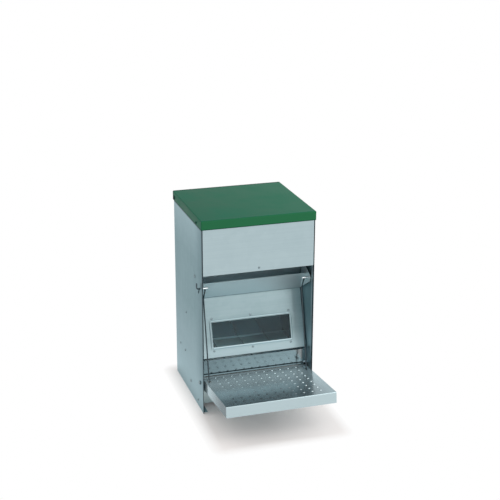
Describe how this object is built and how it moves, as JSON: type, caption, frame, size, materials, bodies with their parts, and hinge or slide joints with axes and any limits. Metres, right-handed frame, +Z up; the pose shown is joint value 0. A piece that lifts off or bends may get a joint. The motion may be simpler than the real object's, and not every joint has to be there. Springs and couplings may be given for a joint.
{
  "type": "gravity poultry feeder",
  "caption": "Box feeder of galvanised sheet with a green lid; a hen's weight on the front treadle pulls wire rods that swing a windowed flap inward off the feed trough.",
  "frame": {"origin": "on the floor, at the middle of the footprint of the housing and the treadle at rest", "axes": "+Z up, -Y towards the treadle and the bird, +X to the right seen from the front"},
  "size_m": [0.3178, 0.4802, 0.5285],
  "materials": {
    "galvanised_sheet": "zinc-coated sheet with faint spangle",
    "green_paint": "satin green paint on sheet steel",
    "zinc_wire": "zinc-plated wire and fixings",
    "clear_acrylic": "clear acrylic sheet",
    "bar_steel": "plain bar steel",
    "polymer_bush": "pale moulded bush"
  },
  "bodies": {
    "housing": {"back_panel": "galvanised_sheet", "baffle_rivet_left": "zinc_wire", "baffle_rivet_right": "zinc_wire", "feed_trough": "galvanised_sheet", "flap_hinge_rivet_left": "zinc_wire", "flap_hinge_rivet_right": "zinc_wire", "front_panel": "galvanised_sheet", "front_panel_rivet": "zinc_wire", "grid_bar_left": "zinc_wire", "grid_bar_middle": "zinc_wire", "grid_bar_right": "zinc_wire", "grid_wire_back": "zinc_wire", "grid_wire_front": "zinc_wire", "hopper_baffle": "galvanised_sheet", "kick_panel": "galvanised_sheet", "kick_rivet_left": "zinc_wire", "kick_rivet_right": "zinc_wire", "left_side_panel": "galvanised_sheet", "lid_rivet_left": "zinc_wire", "lid_rivet_right": "zinc_wire", "right_side_panel": "galvanised_sheet", "stop_pin_left": "zinc_wire", "stop_pin_right": "zinc_wire", "treadle_bolt_left": "zinc_wire", "treadle_bolt_right": "zinc_wire", "treadle_bush_left": "polymer_bush", "treadle_bush_right": "polymer_bush", "trough_rivet_back_left": "zinc_wire", "trough_rivet_back_right": "zinc_wire", "trough_rivet_front_left": "zinc_wire", "trough_rivet_front_right": "zinc_wire"},
    "lid_tray": {"lid": "green_paint"},
    "treadle_board": {"treadle": "galvanised_sheet", "counterweight": "bar_steel", "counterweight_bolt_left": "zinc_wire", "counterweight_bolt_right": "zinc_wire"},
    "flap_door": {"flap": "galvanised_sheet", "flap_ear_left": "galvanised_sheet", "flap_ear_right": "galvanised_sheet", "window_pane": "clear_acrylic", "window_screw_1": "zinc_wire", "window_screw_2": "zinc_wire", "window_screw_3": "zinc_wire", "window_screw_4": "zinc_wire", "window_screw_5": "zinc_wire", "window_screw_6": "zinc_wire"},
    "rod_left": {"pull_rod_left": "zinc_wire"},
    "rod_right": {"pull_rod_right": "zinc_wire"}
  },
  "joints": [
    {"name": "treadle_pivot", "type": "hinge", "parent": "housing", "child": "treadle_board", "pos_m": [0, -0.01571, 0.076], "axis": [1, 0, 0], "range_deg": [0, 19]},
    {"name": "flap_hinge", "type": "hinge", "parent": "housing", "child": "flap_door", "pos_m": [0, 0.02679, 0.358], "axis": [1, 0, 0], "range_deg": [0, 17]},
    {"name": "rod_left_pin", "type": "hinge", "parent": "flap_door", "child": "rod_left", "pos_m": [-0.134, -0.01721, 0.339], "axis": [1, 0, 0], "range_deg": [-19.5, 0]},
    {"name": "rod_right_pin", "type": "hinge", "parent": "flap_door", "child": "rod_right", "pos_m": [0.134, -0.01721, 0.339], "axis": [1, 0, 0], "range_deg": [-19.5, 0]},
    {"name": "lid_hinge", "type": "hinge", "parent": "housing", "child": "lid_tray", "pos_m": [0, 0.22479, 0.513], "axis": [-1, 0, 0], "range_deg": [0, 95]}
  ],
  "couplings": [
    {"joint": "flap_hinge", "follows": "treadle_pivot", "ratio": 0.8864},
    {"joint": "rod_left_pin", "follows": "treadle_pivot", "ratio": -1.0084},
    {"joint": "rod_right_pin", "follows": "treadle_pivot", "ratio": -1.0084}
  ]
}
